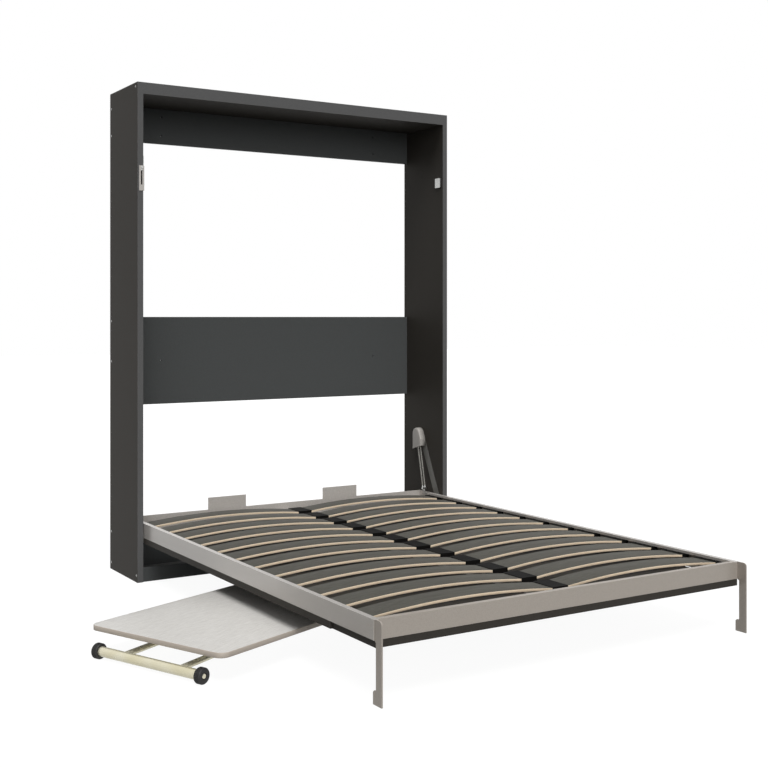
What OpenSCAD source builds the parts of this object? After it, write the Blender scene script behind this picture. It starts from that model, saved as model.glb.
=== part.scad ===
// Wall bed with a fold down desk, all lengths in millimetres.
// The origin is on the floor at the middle of the cabinet's back, +X to the right, +Y into the wall.

/* [Cabinet] */
// Width over both side boards
cabinet_w = 1690; // [1560:5:1840]
// Height from the floor to the top
cabinet_h = 2247; // [2160:1:2320]
// Depth from the wall to the front edges
cabinet_d = 369; // [360:1:420]
// Thickness of each side board
side_t = 27; // [24:1:32]
// Thickness of the top board
top_t = 52; // [36:1:60]
// Height of the plinth
plinth_h = 62; // [40:1:70]
// Thickness of the plinth
plinth_t = 16; // [12:0.5:18]
// Set back of the plinth behind the cabinet's front
plinth_inset = 8; // [0:1:8]
// Thickness of the back boards
back_t = 18; // [15:0.5:22]
// Distance of the back boards from the wall line
back_inset = 8; // [4:0.5:14]
// Height of the top back rail
top_rail_h = 167; // [120:1:200]
// Underside of the middle back board above the floor
mid_back_z = 772; // [700:1:850]
// Height of the middle back board
mid_back_h = 420; // [300:1:500]
// Height of the bottom back rail
low_rail_h = 198; // [150:1:220]

/* [Bed frame] */
// Underside of the front panel above the floor, bed down
bed_clear_h = 173; // [165:1:185]
// Thickness of the front panel
panel_t = 25; // [18:0.5:28]
// Height of the steel rails
rail_h = 65; // [60:1:75]
// Thickness of the rail steel
rail_t = 2.5; // [2:0.1:3]
// Width of the rail flanges
rail_flange = 18; // [12:0.5:22]
// Space between a bed rail and the side board
side_gap = 4.5; // [4:0.1:6]
// Height of the bed pivot over the panel's underside
pivot_rise = 20.5; // [19:0.1:22]
// Recess of the closed panel behind the cabinet front
panel_recess = 3; // [2:0.1:6]
// Gap around the closed bed at the top board and the plinth
closed_gap = 2.5; // [2:0.1:5]
// Floor gap under the head rail of the closed bed
head_floor_gap = 8; // [6:0.5:14]
// Width of each head plate
head_plate_w = 200; // [120:1:260]
// Rise of the head plates over the rails
head_plate_rise = 58; // [30:1:70]
// Middle of each head plate from the centre line
head_plate_x = 315; // [200:1:420]

/* [Slats] */
// Number of slat rows
slat_rows = 12; // [8:1:13]
// Width of a slat
slat_w = 108; // [70:1:112]
// Thickness of a slat
slat_t = 10; // [8:0.5:12]
// Rise of a slat's crown over its ends
slat_rise = 23.25; // [12:0.25:28]
// Top of the slats over the rails' top edge
slat_over_rail = 7; // [0:0.5:9]
// Centre line of the first slat row behind the bed pivot
first_row_step = 23.5; // [20:0.5:30]
// Centre line of the last slat row in front of the foot rail
last_row_step = 135; // [110:1:160]

/* [Legs] */
// Thickness of a leg plate
leg_t = 5; // [4:0.1:6.2]
// Width of the leg's bar
leg_bar_w = 33; // [24:0.5:34]
// Reach of the leg in front of the foot rail
leg_reach = 41; // [36:1:60]
// Height of the leg's pivot above the floor
leg_pivot_z = 240; // [232:0.5:244]
// Height of the leg's foot
leg_foot_h = 44; // [25:1:50]

/* [Springs] */
// Diameter of a gas spring tube
spring_tube_d = 8; // [7:0.5:10]
// Diameter of a gas spring rod
spring_rod_d = 5; // [4:0.5:6]
// Height of the upper spring pin
spring_pin_z = 550; // [530:1:570]
// Distance of the upper spring pin from the wall line
spring_pin_y = 166; // [160:1:175]
// Depth of the domed cover with its plate
cover_depth = 34; // [33:0.5:38]
// Wall thickness of the domed cover
cover_wall = 2; // [1.5:0.1:2.2]
// Width of the hinge plate's arm
arm_w = 40; // [30:1:44]

/* [Latch and catches] */
// Width of the slotted latch plate
latch_w = 24; // [22:0.5:26]
// Height of the slotted latch plate
latch_h = 113; // [100:1:130]
// Underside of the latch plate below the cabinet's top
latch_drop = 488; // [440:1:560]
// Width of the latch slot
latch_slot_w = 7; // [6:0.5:9]
// Travel of the thumb slider
latch_travel = 50; // [40:1:60]
// Height of a side catch tongue
catch_h = 50; // [40:1:60]
// Depth of a side catch tongue along the board
catch_w = 46; // [36:1:50]
// Reach of a catch tongue out of the board
catch_reach = 8; // [5:0.5:12]
// Underside of the catch tongues below the cabinet's top
catch_drop = 378; // [300:1:420]

/* [Desk] */
// Length of the desk top
desk_w = 640; // [560:1:700]
// Thickness of the desk top
desk_t = 18; // [15:0.5:25]
// Corner radius of the desk top
desk_corner_r = 36; // [20:1:80]
// Upper side of the folded desk above the floor
desk_low_h = 105; // [102:0.5:120]
// Upper side of the raised desk above the floor
desk_high_h = 745; // [680:1:760]
// Posts from a foot bar to the centre bolt
lower_arm = 511; // [500:1:560]
// Posts from the centre bolt to the upper end
upper_arm = 398; // [380:1:440]
// Foot bars stand out of the top's ends by
foot_out = 19; // [10:1:40]
// Distance between the wheel centres of a foot bar
wheel_track = 492; // [450:1:540]
// Diameter of the wheels
wheel_d = 55; // [52:0.5:62]
// Width of the wheels
wheel_w = 27; // [18:0.5:30]
// Diameter of the foot bars
foot_bar_d = 35; // [30:0.5:38]
// Width of the flat oval posts
post_w = 30; // [24:0.5:32]
// Height of the flat oval posts
post_h = 15; // [13:0.5:16]
// Outer posts from the desk's middle line
outer_post_y = 134; // [125:1:150]
// Middle of the desk to the right of the bed's centre line
desk_x = -804; // [-900:1:-700]
// Middle of the desk in front of the wall line
desk_y = -1448.4; // [-1600:1:-1300]
// Turn of the desk seen from above
desk_turn = 22.7; // [0:0.1:30]

/* [Hidden] */
$fn = 64;

// Clearances and overruns
cut = 1;
cut_across = 2 * cut;
face_gap = 0.3;
pin_gap = 0.05;
slide_gap = 0.3;

// Colours
board_c = "#4b4d4e";
board_inner_c = "#3b3d3e";
steel_c = "#9c968f";
zinc_c = "#b9bab8";
black_c = "#1c1c1d";
beech_c = "#cdb896";
desk_c = "#d2d0cb";
gold_c = "#cfc48f";

// Cabinet places
side_x = cabinet_w / 2;
inner_x = side_x - side_t;
top_z = cabinet_h - top_t;
back_y = -back_inset;
back_front_y = back_y - back_t;
top_rail_z = top_z - top_rail_h;
plinth_y = -cabinet_d + plinth_inset;

// Screws through the side boards
screw_head_r = 5.5;
screw_head_h = 2.5;
screw_shank_r = 2.6;
screw_reach = 34;
screw_head_sink = 0.5;
screw_end_step = 20;
top_screw_drop = 17;
top_screw_y_shares = [0.925];
screw_low_z = 32;
socket_r = 2.2;
socket_depth = 1.6;

// Wall fixing holes in the back boards
wall_hole_r = 4;
wall_hole_x = 600;
wall_hole_step = 90;

// Bed places, bed down
pivot_z = bed_clear_h + pivot_rise;
pivot_y = -cabinet_d + panel_recess + pivot_rise;
frame_z = bed_clear_h + panel_t;
rail_top_z = frame_z + rail_h;
bed_x = inner_x - side_gap;
web_x = bed_x - rail_t;
foot_y = pivot_y - (top_z - closed_gap - pivot_z);
head_y = pivot_y + pivot_z - head_floor_gap;
panel_head_y = pivot_y + pivot_z - plinth_h - closed_gap;
leg_slot = leg_t + 2 * face_gap;
panel_x = web_x - leg_slot;
leg_pivot_back = 70;
leg_y = foot_y - leg_reach + leg_pivot_back;
leg_fold_y = leg_y + leg_pivot_z;
flange_reach = 62.5;
flange_end_y = pivot_y + flange_reach;
head_flange = head_y - panel_head_y + rail_flange;

// Pivot pin, bush and bracket
pivot_pin_r = 8;
bush_r = 11;
bush_end_gap = 0.3;
plate_t = 3;
plate_x = inner_x - plate_t;
keeper_r = 12;
keeper_t = 2;
bracket_t = 2.5;
bracket_x = web_x - bracket_t;
bracket_reach = 50;
bracket_drop = 19;
bracket_rise = 30;
bracket_top = frame_z + bracket_rise;
keeper_x = bracket_x - bush_end_gap - keeper_t;
rivet_r = 3;
rivet_head_r = 5;
rivet_head_h = 1;
panel_bracket_shares = [0, 0.5, 1];
panel_bracket_step = 12;
panel_bracket_w = 40;
panel_bracket_leg = 34;

// Spring geometry, the lower end at rest, seen from the bed pivot
stud_back = 122.5;
stud_rise = 87.5;
stud_y = pivot_y + stud_back;
stud_z = pivot_z + stud_rise;
stud_plate_t = 2.4;
stud_plate_in = 15;
stud_plate_x = bed_x - stud_plate_in;
stud_plate_reach = 8;
stud_foot_drop = 28;
stud_foot_h = 18;
spring_step = 7;
spring_end_r = 6;
spring_end_w = 10;
spring_eye_w = 10;
spring_eye_r = 7;
spring_pin_r = 4;
pin_z = spring_pin_z;
pin_y = -spring_pin_y;
spring_tilt = atan2(stud_y - pin_y, pin_z - stud_z);
spring_l = norm([stud_y - pin_y, stud_z - pin_z]);
spring_tube_short = 16;
spring_tube_l = spring_l - spring_tube_short;
spring_tube_top = 9;
spring_bore_top = 11;
spring_rod_top = 13;
spring_neck_l = 12;

// Domed cover outline, measured from the spring pin
cover_rear = 38;
cover_front = 41;
cover_rise = 48;
cover_rear_drop = 67;
cover_front_drop = 44;
cover_top_r = 33;
cover_round = 9;
cover_steps = 6;
cover_mouth_reach = 4;

// Hinge plate arm and screws
arm_top_step = 22;
arm_run = pin_y - arm_top_step - pivot_y;
arm_rise = pin_z - cover_front_drop / 2 - pivot_z;
arm_hole_shares = [0.3, 0.62];
plate_screw_r = 2.5;
plate_screw_l = 16;
plate_screw_head_r = 4.5;
plate_screw_head_h = 1.1;

// Slat places
first_row_y = pivot_y + first_row_step;
last_row_y = foot_y + last_row_step;
row_pitch = (first_row_y - last_row_y) / (slat_rows - 1);
crown_z = rail_top_z + slat_over_rail;
slat_inner_x = 14;
slat_outer_gap = 15;
slat_outer_x = web_x - slat_outer_gap;
slat_mid_x = (slat_inner_x + slat_outer_x) / 2;
slat_half = (slat_outer_x - slat_inner_x) / 2;
slat_crown_r = (pow(slat_half, 2) + pow(slat_rise, 2)) / (2 * slat_rise);
slat_end_z = crown_z - slat_rise - slat_t;
holder_grip = 21;
holder_wall = 2.5;
holder_gap = 0.3;
holder_floor = 7;
holder_z = slat_end_z - holder_floor;
holder_top = slat_end_z + slat_t + 2 * holder_wall;
beam_w = 60;
beam_wall = 2;

// Leg places
leg_x = web_x - face_gap - leg_t;
leg_front_y = foot_y - leg_reach;
leg_head_rear = 12;
leg_head_r = 13;
leg_neck = 55;
leg_neck_cut = 15;
leg_foot_w = 50;
leg_foot_cut = 6;
leg_end_gap = 3;
leg_pin_r = 5;
leg_pin_head_r = 9;
leg_pin_head_t = 1.5;

// Latch and catch places
latch_z = cabinet_h - latch_drop;
catch_z = cabinet_h - catch_drop;
latch_plate_t = 2;
latch_plate_gap = 0.5;
latch_foot_h = 27;
latch_head_h = 10;
latch_x = -inner_x + side_gap - latch_plate_gap - latch_w;
latch_slot_z = latch_z + latch_foot_h;
latch_slot_h = latch_h - latch_foot_h - latch_head_h;
latch_button_h = 12;
latch_button_lap = 2;
latch_button_r = 5.5;
latch_button_out = 4;
latch_pocket = 18;
latch_shank = 14;
catch_inset = 15;
catch_y = -cabinet_d + catch_inset;
case_wall = 2;
case_pocket = 20;
catch_inside = 3;
catch_round = 3;

// Desk places in its own frame: x along the top, y across, z up
wheel_r = wheel_d / 2;
pivot_drop = 12;
desk_under = desk_low_h - desk_t;
upper_z = desk_under - pivot_drop;
arm_l = lower_arm + upper_arm;
desk_tilt = asin((upper_z - wheel_r) / arm_l);
desk_tilt_up = asin((desk_high_h - desk_t - pivot_drop - wheel_r) / arm_l);
foot_x = lower_arm * cos(desk_tilt);
upper_x = upper_arm * cos(desk_tilt);
cross_z = wheel_r + lower_arm * sin(desk_tilt);
desk_half = foot_x - foot_out;
slide_travel = 2 * upper_arm * (cos(desk_tilt) - cos(desk_tilt_up));
post_wall = 1.5;
post_gap = 2;
inner_post_y = outer_post_y - post_w - post_gap;
post_end = post_h / 2;
plug_l = 22;
desk_pin_r = 4;
hinge_plate_t = 4;
hinge_plate_w = 26;
hinge_foot_w = 20;
hinge_foot_t = 2.5;
rail_rod_end = 11;
slide_rail_w = 12;
slide_rail_wall = 2;
slide_rail_drop = 9;
slide_rail_end = 9;
bar_wall = 1.5;
bar_disc_t = 12;
axle_r = 6;
axle_head_r = 8;
axle_head_t = 2;
hub_recess = 4;
hub_r = 11;
tread_round = 4;
bolt_head_r = 7;
bolt_head_t = 3.5;
bolt_washer_t = 1.6;

// Helpers
module block(lo, hi) {
    translate(lo) cube([hi[0] - lo[0], hi[1] - lo[1], hi[2] - lo[2]]);
}

// An outline in (Y, Z) drawn from x0 to x1
module across(x0, x1) {
    translate([x0, 0, 0]) rotate([90, 0, 90]) linear_extrude(x1 - x0) children();
}

// An outline in (X, Z) drawn from y0 to y1
module along(y0, y1) {
    translate([0, y1, 0]) rotate([90, 0, 0]) linear_extrude(y1 - y0) children();
}

module rod_x(x0, x1, y, z, r) {
    translate([x0, y, z]) rotate([0, 90, 0]) cylinder(r = r, h = x1 - x0);
}

module rod_y(x, y0, y1, z, r) {
    translate([x, y0, z]) rotate([-90, 0, 0]) cylinder(r = r, h = y1 - y0);
}

module both_sides() {
    children();
    mirror([1, 0, 0]) children();
}

module flip(side) {
    if (side < 0) mirror([1, 0, 0]) children();
    else children();
}

// Screw places on a side board, as [y, z], and where the screw is hidden in a board behind it
function back_screws() = [
    for (z = [top_rail_z + screw_end_step, top_z - screw_end_step, mid_back_z + mid_back_h / 2,
        mid_back_z + mid_back_h - screw_end_step, screw_low_z, low_rail_h - screw_end_step])
            [back_y - back_t / 2, z]];
function top_screws() = [for (s = top_screw_y_shares) [-cabinet_d * s, cabinet_h - top_screw_drop]];
function plinth_screws() = [[plinth_y + plinth_t / 2, plinth_h / 2]];
function side_screws() = concat(back_screws(), top_screws(), plinth_screws());

module screw_hole(p) {
    rod_x(inner_x - screw_reach, side_x + cut, p[0], p[1], screw_shank_r);
    rod_x(side_x - screw_head_h - screw_head_sink, side_x + cut, p[0], p[1], screw_head_r);
}

module all_screw_holes() {
    both_sides() for (p = side_screws()) screw_hole(p);
}

module wall_holes(z) {
    for (sx = [-1, 1]) rod_y(sx * wall_hole_x, back_front_y - cut, back_y + cut, z, wall_hole_r);
}

// Cabinet
module side_board(side) {
    difference() {
        flip(side) block([inner_x, -cabinet_d, 0], [side_x, 0, cabinet_h]);
        flip(side) for (p = side_screws()) screw_hole(p);
        flip(side) catch_pocket();
        if (side < 0) latch_pocket_cut();
        flip(side) for (p = plate_holes()) plate_screw_hole(p);
    }
}

module side_board_left() { color(board_c) side_board(-1); }
module side_board_right() { color(board_c) side_board(1); }

module top_board() {
    color(board_c) difference() {
        block([-inner_x, -cabinet_d, top_z], [inner_x, 0, cabinet_h]);
        all_screw_holes();
    }
}

module plinth() {
    color(board_c) difference() {
        block([-inner_x, plinth_y, 0], [inner_x, plinth_y + plinth_t, plinth_h]);
        all_screw_holes();
    }
}

module back_board(z, h) {
    difference() {
        block([-inner_x, back_front_y, z], [inner_x, back_y, z + h]);
        all_screw_holes();
        children();
    }
}

module top_back_rail() {
    color(board_inner_c) back_board(top_rail_z, top_rail_h) {
        for (s = [-1, 1]) wall_holes(top_rail_z + top_rail_h / 2 + s * wall_hole_step / 2);
    }
}

module mid_back_board() {
    color(board_inner_c) back_board(mid_back_z, mid_back_h) wall_holes(mid_back_z + mid_back_h / 2);
}

module low_back_rail() {
    color(board_inner_c) back_board(0, low_rail_h);
}

module board_screws() {
    head_x = side_x - screw_head_sink;
    color(zinc_c) both_sides() for (p = side_screws()) difference() {
        union() {
            rod_x(inner_x - screw_reach + face_gap, head_x - screw_head_h, p[0], p[1], screw_shank_r - pin_gap);
            rod_x(head_x - screw_head_h, head_x, p[0], p[1], screw_head_r - pin_gap);
        }
        rod_x(head_x - socket_depth, head_x + cut, p[0], p[1], socket_r, $fn = 6);
    }
}

// Outline of the domed cover in (Y, Z); grow moves its rim outwards and drop lowers its underside
function arc_points(c, r, a0, a1, n) = [
    for (i = [0:n]) let (a = a0 + (a1 - a0) * i / n) [c[0] + r * cos(a), c[1] + r * sin(a)]];

module cover_outline(grow, drop = 0) {
    rear = pin_y + cover_rear;
    front = pin_y - cover_front;
    round_c = [rear - cover_top_r, pin_z + cover_rise - cover_top_r];
    front_c = [front + cover_top_r, pin_z - cover_top_r / 2];
    turn = 90 + atan2(round_c[1] - front_c[1], round_c[0] - front_c[0]);
    polygon(concat(
        [[rear + grow, pin_z - cover_rear_drop - drop]],
        arc_points(round_c, cover_top_r + grow, 0, turn, 16),
        arc_points(front_c, cover_top_r + grow, turn, 180, 4),
        [[front - grow, pin_z - cover_front_drop - drop]]));
}

module hinge_plate_outline() {
    cover_outline(0);
    translate([pivot_y, pivot_z]) {
        circle(r = arm_w / 2 + bracket_t);
        rotate(atan2(arm_rise, arm_run)) translate([0, -arm_w / 2]) square([norm([arm_rise, arm_run]), arm_w]);
    }
}

function plate_holes() = concat(
    [[pin_y + cover_rear / 2, pin_z + cover_rise / 2], [pin_y + cover_rear / 2, pin_z - cover_rear_drop / 2]],
    [for (s = arm_hole_shares) [pivot_y + arm_run * s, pivot_z + arm_rise * s]]);

module plate_screw_hole(p) {
    rod_x(plate_x - cut, inner_x + plate_screw_l, p[0], p[1], plate_screw_r);
}

module hinge_plate(side) {
    flip(side) difference() {
        across(plate_x, inner_x) hinge_plate_outline();
        for (p = plate_holes()) plate_screw_hole(p);
    }
}

module hinge_plate_left() { color("#5c5b57") hinge_plate(-1); }
module hinge_plate_right() { color("#5c5b57") hinge_plate(1); }

module plate_screws() {
    color("#5c5b57") both_sides() for (p = plate_holes()) {
        rod_x(plate_x, inner_x + plate_screw_l - face_gap, p[0], p[1], plate_screw_r - pin_gap);
        rod_x(plate_x - plate_screw_head_h, plate_x, p[0], p[1], plate_screw_head_r);
    }
}

module pivot_pins() {
    color(zinc_c) both_sides() {
        rod_x(keeper_x, plate_x, pivot_y, pivot_z, pivot_pin_r);
        rod_x(keeper_x, keeper_x + keeper_t, pivot_y, pivot_z, keeper_r);
    }
}

module spring_pins() {
    color(zinc_c) both_sides() {
        rod_x(inner_x - cover_depth + cover_wall + face_gap, plate_x, pin_y, pin_z, spring_pin_r);
    }
}

// The cover's dome up to x1 as nested steps, taken in by the wall all round for its inside
module cover_dome(wall, x1, drop) {
    x0 = inner_x - cover_depth + wall;
    r = cover_round - wall;
    for (i = [0:cover_steps - 1]) {
        a = 90 * i / cover_steps;
        b = 90 * (i + 1) / cover_steps;
        across(x0 + r * (1 - sin(b)), x1) cover_outline(-wall - r * (1 - cos(a)), drop);
    }
}

module strut_cover(side) {
    flip(side) difference() {
        cover_dome(0, plate_x, 0);
        cover_dome(cover_wall, plate_x + cut, cover_mouth_reach);
    }
}

module strut_cover_left() { color("#a09c98") strut_cover(-1); }
module strut_cover_right() { color("#a09c98") strut_cover(1); }

// Latch on the left board's front edge
module latch_pocket_cut() {
    cx = latch_x + latch_w / 2;
    half = latch_slot_w / 2;
    block([cx - half, -cabinet_d - cut, latch_slot_z],
        [cx + half, -cabinet_d + latch_pocket, latch_slot_z + latch_slot_h]);
}

module latch_plate() {
    cx = latch_x + latch_w / 2;
    color(steel_c) difference() {
        block([latch_x, -cabinet_d - latch_plate_t, latch_z], [latch_x + latch_w, -cabinet_d, latch_z + latch_h]);
        block([cx - latch_slot_w / 2, -cabinet_d - latch_plate_t - cut, latch_slot_z],
            [cx + latch_slot_w / 2, -cabinet_d + cut, latch_slot_z + latch_slot_h]);
    }
}

module latch_slider() {
    cx = latch_x + latch_w / 2;
    half = latch_slot_w / 2 - slide_gap;
    top = latch_slot_z + latch_slot_h - slide_gap;
    front = -cabinet_d - latch_plate_t - face_gap;
    color(zinc_c) {
        block([cx - half, front, top - latch_button_h], [cx + half, front + latch_shank, top]);
        rod_y(cx, front - latch_button_out, front, top + latch_button_r - latch_button_lap, latch_button_r);
    }
}

// Side catches
module catch_pocket() {
    block([inner_x - cut, catch_y - case_wall, catch_z - case_wall],
        [inner_x + case_pocket, catch_y + catch_w + case_wall, catch_z + catch_h + case_wall]);
}

module catch_case() {
    difference() {
        block([inner_x, catch_y - case_wall, catch_z - case_wall],
            [inner_x + case_pocket, catch_y + catch_w + case_wall, catch_z + catch_h + case_wall]);
        block([inner_x - cut, catch_y, catch_z], [inner_x + case_pocket - case_wall, catch_y + catch_w, catch_z + catch_h]);
    }
}

module catch_cases() { color(black_c) both_sides() catch_case(); }

module catch_tongue(side) {
    flip(side) across(inner_x - catch_reach, inner_x + catch_inside - face_gap)
        translate([catch_y + slide_gap + catch_round, catch_z + slide_gap + catch_round])
            rounded_square(catch_w - 2 * slide_gap, catch_h - 2 * slide_gap, catch_round);
}

// A square with round corners whose lower left corner, before rounding, is one radius outside the origin
module rounded_square(w, h, r) {
    translate([-r, 0]) square([w, h - 2 * r]);
    translate([0, -r]) square([w - 2 * r, h]);
    for (x = [0, w - 2 * r], y = [0, h - 2 * r]) translate([x, y]) circle(r = r);
}

module catch_tongue_left() { color(zinc_c) catch_tongue(-1); }
module catch_tongue_right() { color(zinc_c) catch_tongue(1); }

// Bed frame
module side_rail(side) {
    flip(side) difference() {
        union() {
            block([web_x, foot_y, frame_z], [bed_x, head_y, rail_top_z]);
            block([web_x - rail_flange, foot_y, rail_top_z - rail_t], [web_x, flange_end_y, rail_top_z]);
            block([web_x - rail_flange, foot_y + rail_t, holder_top + face_gap],
                [web_x - rail_flange + rail_t, flange_end_y, rail_top_z]);
        }
        rod_x(web_x - cut, bed_x + cut, pivot_y, pivot_z, bush_r);
        rod_x(web_x - cut, bed_x + cut, leg_y, leg_pivot_z, leg_pin_r);
        for (p = rivet_places()) rod_x(web_x - cut, bed_x + cut, p[0], p[1], rivet_r);
    }
}

module side_rail_left() { color(steel_c) side_rail(-1); }
module side_rail_right() { color(steel_c) side_rail(1); }

function rivet_places() = [
    for (s = [-1, 1]) [pivot_y + s * bracket_reach * 2 / 3, (frame_z + bracket_top) / 2]];

module head_rail() {
    color(steel_c) {
        block([-web_x, head_y - rail_t, frame_z], [web_x, head_y, rail_top_z]);
        difference() {
            block([-panel_x, head_y - head_flange, frame_z], [panel_x, head_y - rail_t, frame_z + rail_t]);
            for (sx = [-1, 1]) translate([sx * panel_x / 2, head_y - head_flange + rail_flange / 2, frame_z - cut])
                cylinder(r = rivet_r, h = rail_t + cut_across);
        }
    }
}

module foot_rail() {
    color(steel_c) {
        block([-panel_x, foot_y, frame_z], [panel_x, foot_y + rail_t, rail_top_z - rail_t]);
        block([-web_x + rail_flange, foot_y, rail_top_z - rail_t],
            [web_x - rail_flange, foot_y + rail_flange + rail_t, rail_top_z]);
        block([-panel_x, foot_y + rail_t, frame_z], [panel_x, foot_y + rail_t + rail_flange, frame_z + rail_t]);
    }
}

module centre_beam() {
    beam_z = frame_z + rail_t;
    color(steel_c) difference() {
        block([-beam_w / 2, foot_y + rail_t, beam_z], [beam_w / 2, head_y - rail_t, holder_z]);
        block([-beam_w / 2 + beam_wall, foot_y, beam_z + beam_wall],
            [beam_w / 2 - beam_wall, head_y, holder_z - beam_wall]);
    }
}

// Full width between the folded legs and the pivots, narrow beside both
module front_panel() {
    color(board_inner_c) {
        block([-panel_x, foot_y, bed_clear_h], [panel_x, panel_head_y, frame_z]);
        block([-bed_x, leg_fold_y + leg_end_gap, bed_clear_h], [bed_x, pivot_y - bracket_drop - face_gap, frame_z]);
    }
}

module head_plates() {
    low = frame_z + rail_h / 4;
    color(steel_c) for (sx = [-1, 1])
        block([sx * head_plate_x - head_plate_w / 2, head_y - 2 * rail_t, low],
            [sx * head_plate_x + head_plate_w / 2, head_y - rail_t, rail_top_z + head_plate_rise]);
}

module panel_brackets() {
    first = pivot_y - bracket_reach - panel_bracket_step - panel_bracket_w;
    last = leg_fold_y + panel_bracket_step;
    color(zinc_c) both_sides() for (s = panel_bracket_shares) {
        y = first + (last - first) * s;
        block([bracket_x, y, frame_z], [web_x, y + panel_bracket_w, bracket_top]);
        block([bracket_x - panel_bracket_leg, y, frame_z], [bracket_x, y + panel_bracket_w, frame_z + bracket_t]);
    }
}

// One crowned slat of the right column; grow widens it for the holders' pockets
module slat(y, grow) {
    half = slat_w / 2 + grow;
    along(y - half, y + half) intersection() {
        translate([slat_mid_x, crown_z - slat_crown_r]) difference() {
            circle(r = slat_crown_r + grow, $fn = 400);
            circle(r = slat_crown_r - slat_t - grow, $fn = 400);
        }
        translate([slat_inner_x - grow, slat_end_z - slat_t])
            square([slat_outer_x - slat_inner_x + 2 * grow, crown_z - slat_end_z + 2 * slat_t]);
    }
}

module slat_column() {
    for (i = [0:slat_rows - 1]) slat(first_row_y - i * row_pitch, 0);
}

module slats_left() { color(beech_c) mirror([1, 0, 0]) slat_column(); }
module slats_right() { color(beech_c) slat_column(); }

module side_holder(y) {
    half = slat_w / 2 + holder_wall;
    difference() {
        block([slat_outer_x - holder_grip, y - half, holder_z], [web_x, y + half, holder_top]);
        slat(y, holder_gap);
    }
}

module centre_holder(y) {
    half = slat_w / 2 + holder_wall;
    difference() {
        block([-slat_inner_x - holder_grip, y - half, holder_z], [slat_inner_x + holder_grip, y + half, holder_top]);
        both_sides() slat(y, holder_gap);
    }
}

module slat_holders_right() {
    color(black_c) for (i = [0:slat_rows - 1]) side_holder(first_row_y - i * row_pitch);
}

module slat_holders_left() {
    color(black_c) mirror([1, 0, 0]) for (i = [0:slat_rows - 1]) side_holder(first_row_y - i * row_pitch);
}

module slat_holders_centre() {
    color(black_c) for (i = [0:slat_rows - 1]) centre_holder(first_row_y - i * row_pitch);
}

module pivot_brackets() {
    color(zinc_c) both_sides() {
        difference() {
            union() {
                block([bracket_x, pivot_y - bracket_reach, frame_z], [web_x, pivot_y + bracket_reach, bracket_top]);
                rod_x(bracket_x, web_x, pivot_y, pivot_z, bracket_drop);
            }
            rod_x(bracket_x - cut, web_x + cut, pivot_y, pivot_z, bush_r);
            for (p = rivet_places()) rod_x(bracket_x - cut, web_x + cut, p[0], p[1], rivet_r);
        }
        for (p = rivet_places()) {
            rod_x(bracket_x - rivet_head_h, bed_x + rivet_head_h / 2, p[0], p[1], rivet_r - pin_gap);
            rod_x(bracket_x - rivet_head_h, bracket_x, p[0], p[1], rivet_head_r);
            rod_x(bed_x, bed_x + rivet_head_h / 2, p[0], p[1], rivet_head_r);
        }
    }
}

module pivot_bushes() {
    color(black_c) both_sides() difference() {
        rod_x(bracket_x, plate_x - bush_end_gap, pivot_y, pivot_z, bush_r);
        rod_x(bracket_x - cut, plate_x + cut, pivot_y, pivot_z, pivot_pin_r + pin_gap);
    }
}

// A slim upright plate between the two springs, carried by a bent foot on the rail's inner face
module stud_brackets() {
    inner = stud_plate_x - stud_plate_t / 2;
    low = stud_z - stud_foot_drop;
    color(zinc_c) both_sides() {
        difference() {
            union() {
                block([inner, stud_y - stud_plate_reach, low], [inner + stud_plate_t, stud_y + stud_plate_reach, stud_z]);
                rod_x(inner, inner + stud_plate_t, stud_y, stud_z, stud_plate_reach);
            }
            rod_x(inner - cut, inner + stud_plate_t + cut, stud_y, stud_z, rivet_r);
        }
        block([inner, stud_y - stud_plate_reach, low], [web_x, stud_y + stud_plate_reach, low + stud_plate_t]);
        block([web_x - stud_plate_t, stud_y - stud_plate_reach, low - stud_foot_h],
            [web_x, stud_y + stud_plate_reach, low + stud_plate_t]);
    }
}

module leg_pins() {
    color(steel_c) both_sides() {
        rod_x(leg_x - leg_pin_head_t, bed_x, leg_y, leg_pivot_z, leg_pin_r);
        rod_x(leg_x - leg_pin_head_t, leg_x, leg_y, leg_pivot_z, leg_pin_head_r);
    }
}

// Legs. The head is level with the rail's top in front of the bed and passes under the flange behind it.
module leg(side) {
    under = rail_top_z - rail_t - face_gap;
    neck_z = rail_top_z - leg_neck;
    bar_rear = leg_front_y + leg_bar_w;
    foot_rear = leg_front_y + leg_foot_w;
    flip(side) difference() {
        across(leg_x, leg_x + leg_t) {
            translate([leg_front_y + leg_head_r, rail_top_z - leg_head_r]) circle(r = leg_head_r);
            translate([leg_y, leg_pivot_z]) circle(r = leg_head_rear);
            polygon([[leg_front_y, 0], [foot_rear, 0], [foot_rear, leg_foot_h - leg_foot_cut],
                [foot_rear - leg_foot_cut, leg_foot_h], [bar_rear, leg_foot_h], [bar_rear, neck_z - leg_neck_cut],
                [leg_y + leg_head_rear, neck_z + leg_neck_cut], [leg_y + leg_head_rear, leg_pivot_z], [leg_y, under],
                [foot_y - face_gap, under], [foot_y - face_gap, rail_top_z], [leg_front_y + leg_head_r, rail_top_z],
                [leg_front_y, rail_top_z - leg_head_r]]);
        }
        rod_x(leg_x - cut, leg_x + leg_t + cut, leg_y, leg_pivot_z, leg_pin_r + pin_gap);
    }
}

module leg_left() { color(steel_c) leg(-1); }
module leg_right() { color(steel_c) leg(1); }

// Gas springs. Each is drawn hanging down from its pin and then tilted to the stud.
module on_spring() {
    for (s = [-1, 1]) translate([stud_plate_x + s * spring_step, pin_y, pin_z]) rotate([spring_tilt, 0, 0]) children();
}

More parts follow.
